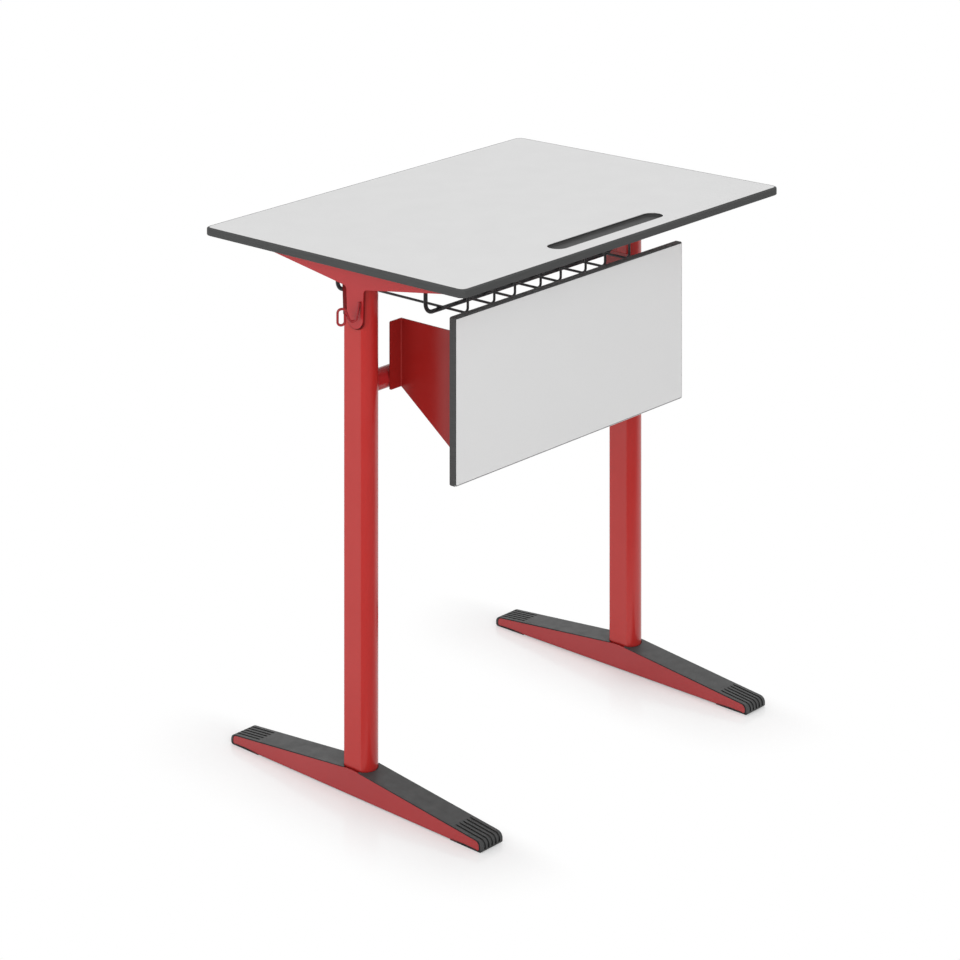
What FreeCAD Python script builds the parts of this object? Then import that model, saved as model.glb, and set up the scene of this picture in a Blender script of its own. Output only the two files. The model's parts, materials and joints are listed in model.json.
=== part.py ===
import FreeCAD, Part
import math
import os
import Sketcher

# School desk for one pupil: two capped feet, two flat-sided columns, a round cross beam, folded
# supports under a compact laminate worktop with a pen tray, a modesty panel on folded brackets,
# a wire book basket and a bag hook on each column.
# Frame: origin on the floor under the middle of the worktop, +X to the right seen from the
# modesty panel, +Y towards the pupil, +Z up. Lengths are millimetres.

SIZES = {
    # Worktop: a dark core with a decor sheet on each face, and a milled pen tray
    "worktop_width": 700,
    "worktop_depth": 500,
    "worktop_height": 760,
    "board_thickness": 12,
    "decor_thickness": 0.6,
    "decor_inset": 2.4,
    "board_edge_radius": 1.6,
    "worktop_corner_radius": 12,
    "tray_length": 239,
    "tray_width": 30.5,
    "tray_depth": 5,
    "tray_floor_radius": 3,
    "tray_to_edge": 27.8,
    # Columns: flat-sided oval tube, flats facing sideways
    "column_inset": 58,
    "column_forward": 10,
    "column_width": 35,
    "column_depth": 49,
    "column_flat": 32,
    "column_wall": 2,
    "base_plate_thickness": 8,
    "fit_gap": 0.3,
    # Feet: an open steel channel that tapers to both ends and is bolted up into the column
    "foot_width": 43,
    "foot_peak_height": 37.5,
    "foot_tip_height": 13.3,
    "foot_crown_radius": 130,
    "foot_tip_radius": 6.5,
    "foot_heel_radius": 3.5,
    "foot_wall": 2,
    "saddle_margin": 1.5,
    "saddle_thickness": 4,
    "bolt_diameter": 8,
    "bolt_head_diameter": 13,
    "bolt_head_height": 5,
    "bolt_reach": 10,
    "bolt_access_diameter": 18,
    # Foot caps: a sheet over a seat and a plug, cut out round the column, with a ribbed nose
    "cap_rise": 1.1,
    "cap_sheet_thickness": 0.6,
    "cap_inset": 0.3,
    "cap_seat_inset": 1.3,
    "cap_start": 14,
    "cap_column_gap": 0.6,
    "cap_plug_depth": 3.5,
    "cap_block_length": 16,
    "cap_nose_thickness": 3.6,
    "cap_nose_radius": 8.5,
    "cap_heel_radius": 4,
    "pad_thickness": 1.5,
    "pad_length": 56,
    "groove_length": 53,
    "groove_width": 3.4,
    "groove_depth": 1.5,
    "groove_count": 5,
    # Top supports: folded sheet, with a wing that tapers both ways and a tongue on the column
    "sheet_thickness": 2.5,
    "fold_radius": 1.2,
    "wing_front_inset": 25,
    "wing_rear_inset": 43,
    "wing_front_tip_height": 7,
    "wing_rear_tip_height": 4,
    "wing_root_drop": 36,
    "wing_flange_width": 50,
    "wing_corner_radius": 14,
    "tongue_root_width": 33,
    "tongue_end_width": 30,
    "tongue_forward": 6.8,
    "tongue_drop": 93,
    "tongue_root_radius": 6,
    "lip_reach": 7,
    "lip_thickness": 1,
    # Cross beam, and the folded brackets on it that carry the modesty panel
    "beam_diameter": 30,
    "beam_wall": 2,
    "beam_drop": 178,
    "bracket_inset": 23,
    "bracket_sheet": 2,
    "bracket_lap": 13.5,
    "bracket_height": 96.5,
    "bracket_drop": 79,
    "bracket_flange_width": 24.5,
    "bracket_corner_radius": 2,
    # Modesty panel: the same kind of board as the worktop
    "panel_side_gap": 23.2,
    "panel_height": 233.4,
    "panel_drop": 66.6,
    "panel_set_back": 101.5,
    "panel_corner_radius": 3,
    # Book basket: two bent frames, and hairpins of thinner wire that lie across them
    "frame_wire": 6,
    "frame_inset": 86.4,
    "frame_drop": 89,
    "frame_bend_radius": 14,
    "front_frame_reach": 42.3,
    "rear_frame_inset": 131.1,
    "hairpin_wire": 3.6,
    "hairpin_width": 56,
    "hairpin_margin": 27,
    "hairpin_count": 4,
    "hairpin_panel_gap": 29.5,
    "hairpin_overhang": 8,
    "hairpin_rise": 52,
    "hairpin_bend_radius": 8,
    "weld_gap": 0.1,
    "tab_length": 40,
    "tab_width": 22,
    "tab_thickness": 2,
    "tab_margin": 8,
    "tab_screw_margin": 10,
    "tab_corner_radius": 4,
    # Bag hooks: one bent wire each, with a bowl and a closed eye at the outer end
    "hook_wire": 3.5,
    "hook_turn_degrees": 30,
    "hook_forward": 10.2,
    "hook_drop": 79.3,
    "hook_start_rise": 25.8,
    "hook_bowl_start": 4.2,
    "hook_bowl_share": 0.88,
    "hook_eye_inner": 20.7,
    "hook_eye_width": 10.6,
    "hook_eye_rise": 18.8,
    "hook_eye_drop": 3.7,
    "hook_tail_rise": 11.4,
    "hook_bend_share": 0.48,
    # Screws into the boards
    "screw_diameter": 4.5,
    "screw_head_diameter": 9,
    "screw_head_height": 2.6,
    "screw_head_bevel": 1,
    "screw_point": 2,
    "screw_depth": 8,
    "flange_screw_margin": 15,
    "worktop_screw_margin": 31,
    "worktop_screws_per_side": 4,
    "panel_screw_margin": 12,
    "panel_screw_spread": 130,
    "panel_screws_per_side": 3,
    "cut_over": 20,
}

# Places that follow from the sizes; each one may use those above it
PLACES = {
    "underside": "sizes.worktop_height - sizes.board_thickness",
    "half_depth": "sizes.worktop_depth / 2",
    "core_thickness": "sizes.board_thickness - 2 * sizes.decor_thickness",
    "worktop_core_bottom": "places.underside + sizes.decor_thickness",
    "worktop_core_top": "sizes.worktop_height - sizes.decor_thickness",
    "tray_y": "-places.half_depth + sizes.tray_to_edge + sizes.tray_width / 2",
    "tray_straight": "sizes.tray_length - sizes.tray_width",
    "column_x": "sizes.worktop_width / 2 - sizes.column_inset",
    "column_y": "-sizes.column_forward",
    "column_face": "places.column_x + sizes.column_width / 2",
    "column_inner": "places.column_x - sizes.column_width / 2",
    "column_bulge": "(sizes.column_depth - sizes.column_flat) / 2",
    "column_top": "places.underside - sizes.sheet_thickness",
    "half_foot": "places.half_depth - sizes.column_forward",
    "foot_slope": "(sizes.foot_peak_height - sizes.foot_tip_height) / places.half_foot",
    "half_saddle": "sizes.column_depth / 2 + sizes.saddle_margin",
    "saddle_top": "sizes.foot_peak_height - places.foot_slope * places.half_saddle - sizes.fit_gap",
    "half_channel": "places.half_foot - sizes.cap_nose_thickness - sizes.fit_gap",
    "channel_floor": "sizes.pad_thickness + sizes.foot_wall",
    "saddle_bottom": "places.saddle_top - sizes.saddle_thickness",
    "cap_under": "sizes.cap_rise - sizes.cap_sheet_thickness",
    "cap_inner_radius": "sizes.cap_nose_radius - sizes.cap_nose_thickness",
    "seat_end": "places.half_foot - sizes.cap_nose_radius",
    "channel_width": "sizes.foot_width - 2 * sizes.foot_wall",
    "groove_start": "places.half_foot - sizes.groove_length",
    "groove_pitch": "sizes.foot_width / (sizes.groove_count + 1)",
    "web_face": "places.column_face + sizes.sheet_thickness",
    "tongue_y": "places.column_y - sizes.tongue_forward",
    "tongue_root_rear": "places.tongue_y + sizes.tongue_root_width / 2",
    "tongue_end_rear": "places.tongue_y + sizes.tongue_end_width / 2",
    "tongue_centre_z": "places.underside - sizes.tongue_drop + sizes.tongue_end_width / 2",
    "wing_front": "-places.half_depth + sizes.wing_front_inset",
    "wing_rear": "places.half_depth - sizes.wing_rear_inset",
    "wing_root_z": "places.underside - sizes.wing_root_drop",
    "flange_inner": "places.web_face - sizes.wing_flange_width",
    "flange_screw_x": "places.flange_inner + sizes.flange_screw_margin",
    "flange_screw_y": "places.wing_front + sizes.worktop_screw_margin",
    "flange_screw_spread": "places.wing_rear - sizes.worktop_screw_margin - places.flange_screw_y",
    "beam_z": "places.underside - sizes.beam_drop",
    "beam_length": "2 * places.column_inner",
    "panel_half": "places.column_inner - sizes.panel_side_gap",
    "panel_front": "-places.half_depth + sizes.panel_set_back",
    "panel_back": "places.panel_front + sizes.board_thickness",
    "panel_core_front": "places.panel_front + sizes.decor_thickness",
    "panel_core_back": "places.panel_back - sizes.decor_thickness",
    "panel_top": "places.underside - sizes.panel_drop",
    "panel_bottom": "places.panel_top - sizes.panel_height",
    "bracket_x": "places.panel_half - sizes.bracket_inset",
    "bracket_inner": "places.bracket_x - sizes.bracket_sheet",
    "bracket_rear": "places.column_y - sizes.beam_diameter / 2 - sizes.weld_gap",
    "bracket_bottom": "places.beam_z - sizes.bracket_lap",
    "bracket_top": "places.bracket_bottom + sizes.bracket_height",
    "bracket_foot": "places.bracket_bottom - sizes.bracket_drop",
    "panel_screw_x": "places.bracket_x - sizes.bracket_flange_width + sizes.panel_screw_margin",
    "panel_screw_low": "(places.bracket_top + places.bracket_foot - sizes.panel_screw_spread) / 2",
    "frame_z": "places.underside - sizes.frame_drop",
    "frame_x": "places.column_x - sizes.frame_inset",
    "front_frame_y": "places.column_y - sizes.front_frame_reach",
    "rear_frame_y": "places.half_depth - sizes.rear_frame_inset",
    "tab_bottom": "places.underside - sizes.tab_thickness",
    "tab_inner": "places.frame_x + sizes.tab_margin - sizes.tab_length",
    "tab_screw_x": "places.tab_inner + sizes.tab_screw_margin",
    "hairpin_z": "places.frame_z + (sizes.frame_wire + sizes.hairpin_wire) / 2 + sizes.weld_gap",
    "hairpin_front": "places.panel_back + sizes.hairpin_panel_gap",
    "hairpin_end": "places.rear_frame_y + sizes.hairpin_overhang",
    "hairpin_spread": "2 * (places.frame_x - sizes.hairpin_margin) - sizes.hairpin_width",
    "hook_x": "places.web_face + sizes.hook_wire / 2 + sizes.weld_gap",
    "hook_y": "places.tongue_y - sizes.hook_forward",
    "hook_z": "places.underside - sizes.hook_drop",
    "hook_bowl_end": "sizes.hook_bowl_start + sizes.hook_bowl_share * sizes.hook_eye_width",
    "hook_eye_outer": "sizes.hook_eye_inner + sizes.hook_eye_width",
    "hook_bend": "sizes.hook_bend_share * sizes.hook_eye_width",
    "screw_hole": "sizes.screw_diameter + 2 * sizes.fit_gap",
    "screw_core_depth": "sizes.screw_depth - sizes.decor_thickness + sizes.fit_gap",
}

SIDES = {"left": -1, "right": 1}
ENDS = {"front": -1, "rear": 1}
BASKET_FRAMES = {"front": "places.front_frame_y", "rear": "places.rear_frame_y"}
HEX_SIDES = 6
MATCH = 1e-4  # two coordinates closer than this are one

doc = FreeCAD.newDocument("school_desk")


def fill_sheet(name, cells):
    """One row for each name, with the name in column A and its value or formula in column B."""
    sheet = doc.addObject("Spreadsheet::Sheet", name)
    for row, (alias, content) in enumerate(cells.items(), start=1):
        sheet.set("A%d" % row, alias)
        sheet.set("B%d" % row, "=" + content if isinstance(content, str) else str(content))
        sheet.setAlias("B%d" % row, alias)
        sheet.recompute()
    return sheet


sizes = fill_sheet("sizes", SIZES)
places = fill_sheet("places", PLACES)
doc.recompute()


def number(expression):
    """The present value of an expression."""
    return float(sizes.evalExpression(expression))


def same(first, second):
    return abs(first - second) < MATCH


def signed(side, expression):
    """The expression on the left or right side, or towards the front or rear."""
    return "%d * (%s)" % (side, expression)


# Sketches whose points are held by expressions


def new_body(name):
    body = doc.addObject("PartDesign::Body", name)
    body.Label = name
    return body


def sketch_on(body, name, role, offset="0"):
    """An empty sketch on one of the body's origin planes, moved along the plane's normal."""
    plane = next(item for item in body.Origin.OriginFeatures if item.Role == role)
    sketch = body.newObject("Sketcher::SketchObject", name)
    sketch.AttachmentSupport = [(plane, "")]
    sketch.MapMode = "FlatFace"
    sketch.setExpression("AttachmentOffset.Base.z", offset)
    return sketch


def bind(sketch, constraint, expression):
    index = sketch.addConstraint(constraint)
    sketch.setExpression("Constraints[%d]" % index, expression)


def hold_point(sketch, geometry, point, across, up):
    bind(sketch, Sketcher.Constraint("DistanceX", -1, 1, geometry, point, number(across)), across)
    bind(sketch, Sketcher.Constraint("DistanceY", -1, 1, geometry, point, number(up)), up)


def circle(sketch, across, up, diameter):
    centre = FreeCAD.Vector(number(across), number(up), 0)
    ring = sketch.addGeometry(Part.Circle(centre, FreeCAD.Vector(0, 0, 1), number(diameter) / 2))
    bind(sketch, Sketcher.Constraint("Diameter", ring, number(diameter)), diameter)
    hold_point(sketch, ring, 3, across, up)


def arc_between(centre, first, last, turns_left):
    """An arc and its point numbers at first and last; it always runs anticlockwise itself."""
    start, end = (first, last) if turns_left else (last, first)
    start_angle = math.atan2(start.y - centre.y, start.x - centre.x)
    end_angle = math.atan2(end.y - centre.y, end.x - centre.x)
    ring = Part.Circle(centre, FreeCAD.Vector(0, 0, 1), (start - centre).Length)
    return Part.ArcOfCircle(ring, start_angle, end_angle), (1, 2) if turns_left else (2, 1)


def corner_rounding(before, point, after, radius):
    """Where a rounded corner leaves its two sides, its centre, and whether it turns left."""
    inwards = (point - before).normalize()
    outwards = (after - point).normalize()
    turns_left = inwards.cross(outwards).z > 0
    reach = radius * math.tan(inwards.getAngle(outwards) / 2)
    normal = FreeCAD.Vector(-inwards.y, inwards.x, 0) * (1 if turns_left else -1)
    arrives = point - inwards * reach
    return arrives, point + outwards * reach, arrives + normal * radius, turns_left


def outline(sketch, corners, arcs=None):
    """A closed outline; each corner is (across, up) or (across, up, radius) in expressions.

    arcs gives, for the number of a side, ("DistanceX" or "DistanceY", expression): that side
    bulges outwards as an arc whose centre the expression holds.
    """
    arcs = arcs or {}
    count = len(corners)
    points = [FreeCAD.Vector(number(corner[0]), number(corner[1]), 0) for corner in corners]
    radii = [number(corner[2]) if len(corner) > 2 else 0 for corner in corners]
    anticlockwise = sum(points[i - 1].cross(points[i]).z for i in range(count)) > 0
    rounds = [corner_rounding(points[i - 1], points[i], points[(i + 1) % count], radii[i])
              for i in range(count)]

    sides = []
    for i in range(count):
        first, last = rounds[i][1], rounds[(i + 1) % count][0]
        shape, ends = Part.LineSegment(first, last), (1, 2)
        if i in arcs:
            centre = (first + last) * 0.5
            setattr(centre, arcs[i][0][-1].lower(), number(arcs[i][1]))
            shape, ends = arc_between(centre, first, last, anticlockwise)
        sides.append((sketch.addGeometry(shape), ends))

    for i in range(count):
        before, before_end = sides[i - 1][0], sides[i - 1][1][1]
        after, after_start = sides[i][0], sides[i][1][0]
        if not radii[i]:
            sketch.addConstraint(Sketcher.Constraint("Coincident", before, before_end, after, after_start))
            hold_point(sketch, after, after_start, corners[i][0], corners[i][1])
            continue
        corner = sketch.addGeometry(Part.Point(points[i]), True)
        hold_point(sketch, corner, 1, corners[i][0], corners[i][1])
        sketch.addConstraint(Sketcher.Constraint("PointOnObject", corner, 1, before))
        sketch.addConstraint(Sketcher.Constraint("PointOnObject", corner, 1, after))
        arrives, leaves, centre, turns_left = rounds[i]
        shape, ends = arc_between(centre, arrives, leaves, turns_left)
        arc = sketch.addGeometry(shape)
        sketch.addConstraint(Sketcher.Constraint("Tangent", before, before_end, arc, ends[0]))
        sketch.addConstraint(Sketcher.Constraint("Tangent", arc, ends[1], after, after_start))
        bind(sketch, Sketcher.Constraint("Radius", arc, radii[i]), corners[i][2])

    for i, (way, expression) in arcs.items():
        bind(sketch, Sketcher.Constraint(way, -1, 1, sides[i][0], 3, number(expression)), expression)


def rectangle(sketch, low, high, radius=None):
    """An upright rectangle between two corners, each an (across, up) pair of expressions."""
    corners = [(low[0], low[1]), (high[0], low[1]), (high[0], high[1]), (low[0], high[1])]
    outline(sketch, [corner + (radius,) if radius else corner for corner in corners])


def tray_slot(sketch):
    """The pen tray's outline: a slot with round ends."""
    left, right = "-places.tray_straight / 2", "places.tray_straight / 2"
    low, high = "places.tray_y - sizes.tray_width / 2", "places.tray_y + sizes.tray_width / 2"
    corners = [(left, low), (right, low), (right, high), (left, high)]
    outline(sketch, corners, arcs={1: ("DistanceX", right), 3: ("DistanceX", left)})


def oval(sketch, inset):
    """The column's outline, drawn in from its outer face by inset: two flats and two arcs."""
    half = "(sizes.column_width / 2 - %s)" % inset
    bulge = "(places.column_bulge - %s)" % inset
    low, high = "places.column_y - sizes.column_flat / 2", "places.column_y + sizes.column_flat / 2"
    centre_shift = "({b} * {b} - {h} * {h}) / (2 * {b})".format(b=bulge, h=half)
    corners = [(half, low), (half, high), ("-" + half, high), ("-" + half, low)]
    outline(sketch, corners, arcs={1: ("DistanceY", "%s + %s" % (high, centre_shift)),
                                   3: ("DistanceY", "%s - %s" % (low, centre_shift))})


# Features


def extrude(kind, body, name, sketch, length, symmetric, backwards):
    feature = body.newObject("PartDesign::" + kind, name)
    feature.Profile = sketch
    feature.setExpression("Length", length)
    feature.SideType = "Symmetric" if symmetric else "One side"
    feature.Reversed = backwards
    doc.recompute()
    return feature


def pad(body, name, sketch, length, symmetric=False, backwards=False):
    return extrude("Pad", body, name, sketch, length, symmetric, backwards)


def pocket(body, name, sketch, length, symmetric=False, backwards=False):
    """Cut the sketch out of the body, and make sure that something is cut."""
    before = body.Shape.Volume
    feature = extrude("Pocket", body, name, sketch, length, symmetric, backwards)
    if not body.Shape.Volume < before:
        raise ValueError(name + " cuts nothing")
    return feature


def fillet(body, name, base, radius, wanted):
    """Round the edges of base for which wanted(edge) is true."""
    edges = enumerate(base.Shape.Edges, start=1)
    feature = body.newObject("PartDesign::Fillet", name)
    feature.Base = (base, ["Edge%d" % place for place, edge in edges if wanted(edge)])
    feature.setExpression("Radius", radius)
    doc.recompute()
    return feature


def level(axis, *expressions):
    """A test for edges that lie wholly at one of the given levels along an axis."""
    heights = [number(expression) for expression in expressions]

    def lies_there(edge):
        box = edge.BoundBox
        low, high = getattr(box, axis + "Min"), getattr(box, axis + "Max")
        return same(low, high) and any(same(low, height) for height in heights)

    return lies_there


def runs_along(axis, places_of_edge):
    """A test for straight edges along an axis through one of the given points."""
    def runs_there(edge):
        box = edge.BoundBox
        spans = {name: getattr(box, name + "Length") for name in "XYZ"}
        if any(not same(spans[name], 0) for name in "XYZ" if name != axis):
            return False
        return any(all(same(getattr(box, name + "Min"), number(expression))
                       for name, expression in place.items()) for place in places_of_edge)

    return runs_there


def holes(body, name, role, offset, centres, diameter, depth, backwards=False):
    """Round holes, cut from an offset plane."""
    sketch = sketch_on(body, name + "_sketch", role, offset)
    for across, up in centres:
        circle(sketch, across, up, diameter)
    return pocket(body, name, sketch, depth, backwards=backwards)


def solid_feature(name, shapes):
    """A part made of one or more solids with a placement of its own."""
    feature = doc.addObject("Part::Feature", name)
    feature.Label = name
    feature.Shape = shapes[0] if len(shapes) == 1 else Part.makeCompound(shapes)
    feature.Placement = FreeCAD.Placement()
    return feature


# Worktop and modesty panel


def spread_out(first, spread, count):
    """Evenly spaced places along a spread, the first and the last at its ends."""
    return ["%s + %s * %d / %d" % (first, spread, place, count - 1) for place in range(count)]


def worktop_screw_centres(side):
    """Where the screws of a top support enter the board."""
    along = spread_out("places.flange_screw_y", "places.flange_screw_spread",
                       SIZES["worktop_screws_per_side"])
    return [(signed(side, "places.flange_screw_x"), screw_y) for screw_y in along]


def basket_screw_centres(side):
    return [(signed(side, "places.tab_screw_x"), frame_y) for frame_y in BASKET_FRAMES.values()]


def panel_screw_centres(side):
    heights = spread_out("places.panel_screw_low", "sizes.panel_screw_spread",
                         SIZES["panel_screws_per_side"])
    return [(signed(side, "places.panel_screw_x"), height) for height in heights]


def on_both_sides(centres):
    """The centres on the left and on the right, in one list."""
    return [centre for side in SIDES.values() for centre in centres(side)]


def worktop_hole_centres():
    return on_both_sides(worktop_screw_centres) + on_both_sides(basket_screw_centres)


def build_worktop_core():
    body = new_body("worktop_core")
    sketch = sketch_on(body, "core_outline", "XY_Plane", "places.worktop_core_bottom")
    rectangle(sketch, ("-sizes.worktop_width / 2", "-places.half_depth"),
              ("sizes.worktop_width / 2", "places.half_depth"), "sizes.worktop_corner_radius")
    board = pad(body, "core_board", sketch, "places.core_thickness")
    fillet(body, "core_edges", board, "sizes.board_edge_radius",
           level("Z", "places.worktop_core_bottom", "places.worktop_core_top"))

    sketch = sketch_on(body, "tray_outline", "XY_Plane", "places.worktop_core_top")
    tray_slot(sketch)
    tray = pocket(body, "tray", sketch, "sizes.tray_depth - sizes.decor_thickness")
    fillet(body, "tray_floor", tray, "sizes.tray_floor_radius",
           level("Z", "sizes.worktop_height - sizes.tray_depth"))
    holes(body, "core_screw_holes", "XY_Plane", "places.worktop_core_bottom", worktop_hole_centres(),
          "places.screw_hole", "places.screw_core_depth", backwards=True)
    return body


def build_worktop_decor(name, offset, has_tray):
    """A thin sheet on the core, inset so that the core's rounded edge stays bare."""
    body = new_body(name)
    sketch = sketch_on(body, name + "_outline", "XY_Plane", offset)
    across = "sizes.worktop_width / 2 - sizes.decor_inset"
    deep = "places.half_depth - sizes.decor_inset"
    rectangle(sketch, (signed(-1, across), signed(-1, deep)), (across, deep),
              "sizes.worktop_corner_radius - sizes.decor_inset")
    if has_tray:
        tray_slot(sketch)
    pad(body, name + "_sheet", sketch, "sizes.decor_thickness")
    if not has_tray:
        holes(body, name + "_holes", "XY_Plane", offset, worktop_hole_centres(),
              "places.screw_hole", "sizes.decor_thickness", backwards=True)
    return body


def panel_outline(sketch, inset):
    rectangle(sketch, ("-places.panel_half + %s" % inset, "places.panel_bottom + %s" % inset),
              ("places.panel_half - %s" % inset, "places.panel_top - %s" % inset),
              "sizes.panel_corner_radius - %s" % inset)


def build_panel_core():
    body = new_body("modesty_panel_core")
    sketch = sketch_on(body, "panel_outline", "XZ_Plane", "-places.panel_core_back")
    panel_outline(sketch, "0")
    board = pad(body, "panel_board", sketch, "places.core_thickness")
    fillet(body, "panel_edges", board, "sizes.board_edge_radius",
           level("Y", "places.panel_core_back", "places.panel_core_front"))
    holes(body, "panel_screw_holes", "XZ_Plane", "-places.panel_core_back",
          on_both_sides(panel_screw_centres), "places.screw_hole", "places.screw_core_depth",
          backwards=True)
    return body


def build_panel_decor(name, back_face, has_holes):
    """A decor sheet of the modesty panel; back_face is its face towards the pupil."""
    body = new_body(name)
    sketch = sketch_on(body, name + "_outline", "XZ_Plane", "-(%s)" % back_face)
    panel_outline(sketch, "sizes.decor_inset")
    pad(body, name + "_sheet", sketch, "sizes.decor_thickness")
    if has_holes:
        holes(body, name + "_holes", "XZ_Plane", "-(%s)" % back_face,
              on_both_sides(panel_screw_centres), "places.screw_hole", "sizes.decor_thickness",
              backwards=True)
    return body


# Legs


def build_column(name, side):
    body = new_body(name)
    sketch = sketch_on(body, name + "_section", "XY_Plane", "places.saddle_top")
    oval(sketch, "0")
    oval(sketch, "sizes.column_wall")
    pad(body, name + "_tube", sketch, "places.column_top - places.saddle_top")
    body.setExpression("Placement.Base.x", signed(side, "places.column_x"))
    return body


def build_base_plate(name, side):
    """The threaded plate inside the column's lower end, which the foot bolt pulls down."""
    body = new_body(name)
    sketch = sketch_on(body, name + "_section", "XY_Plane", "places.saddle_top")
    oval(sketch, "(sizes.column_wall + sizes.fit_gap)")
    circle(sketch, "0", "places.column_y", "sizes.bolt_diameter + 2 * sizes.fit_gap")
    pad(body, name + "_plate", sketch, "sizes.base_plate_thickness")
    body.setExpression("Placement.Base.x", signed(side, "places.column_x"))
    return body


def along_foot(end, distance):
    """The Y place at a distance from the column's axis, towards the front or the rear."""
    return "places.column_y + %s" % signed(end, distance)


def foot_top(distance, rise="0"):
    """The height of the steel's sloping top at a distance from the column, plus a rise."""
    return "sizes.foot_peak_height - places.foot_slope * (%s) + (%s)" % (distance, rise)


def build_foot(name, side):
    """A channel that is open at the top and at both ends, with a saddle across its middle."""
    body = new_body(name)
    tip, gap = "places.half_channel", "places.half_saddle"
    sketch = sketch_on(body, name + "_side", "YZ_Plane")
    outline(sketch, [(along_foot(-1, tip), "sizes.pad_thickness", "sizes.foot_heel_radius"),
                     (along_foot(1, tip), "sizes.pad_thickness", "sizes.foot_heel_radius"),
                     (along_foot(1, tip), foot_top(tip), "sizes.foot_tip_radius"),
                     ("places.column_y", "sizes.foot_peak_height", "sizes.foot_crown_radius"),
                     (along_foot(-1, tip), foot_top(tip), "sizes.foot_tip_radius")])
    pad(body, name + "_block", sketch, "sizes.foot_width", symmetric=True)

    end, over = tip + " + sizes.cut_over", "sizes.foot_peak_height + sizes.cut_over"
    sketch = sketch_on(body, name + "_hollow", "YZ_Plane")
    outline(sketch, [(along_foot(-1, end), "places.channel_floor"),
                     (along_foot(1, end), "places.channel_floor"),
                     (along_foot(1, end), over),
                     (along_foot(1, gap), over),
                     (along_foot(1, gap), "places.saddle_bottom"),
                     (along_foot(-1, gap), "places.saddle_bottom"),
                     (along_foot(-1, gap), over),
                     (along_foot(-1, end), over)])
    pocket(body, name + "_channel", sketch, "places.channel_width", symmetric=True)
    sketch = sketch_on(body, name + "_seat", "YZ_Plane")
    rectangle(sketch, (along_foot(-1, gap), "places.saddle_top"), (along_foot(1, gap), over))
    pocket(body, name + "_recess", sketch, "places.channel_width", symmetric=True)

    centre = [("0", "places.column_y")]
    holes(body, name + "_bolt_hole", "XY_Plane", "places.saddle_top", centre,
          "sizes.bolt_diameter + 2 * sizes.fit_gap", "sizes.saddle_thickness")
    holes(body, name + "_bolt_access", "XY_Plane", "places.channel_floor", centre,
          "sizes.bolt_access_diameter", "sizes.foot_wall")
    body.setExpression("Placement.Base.x", signed(side, "places.column_x"))
    return body


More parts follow.
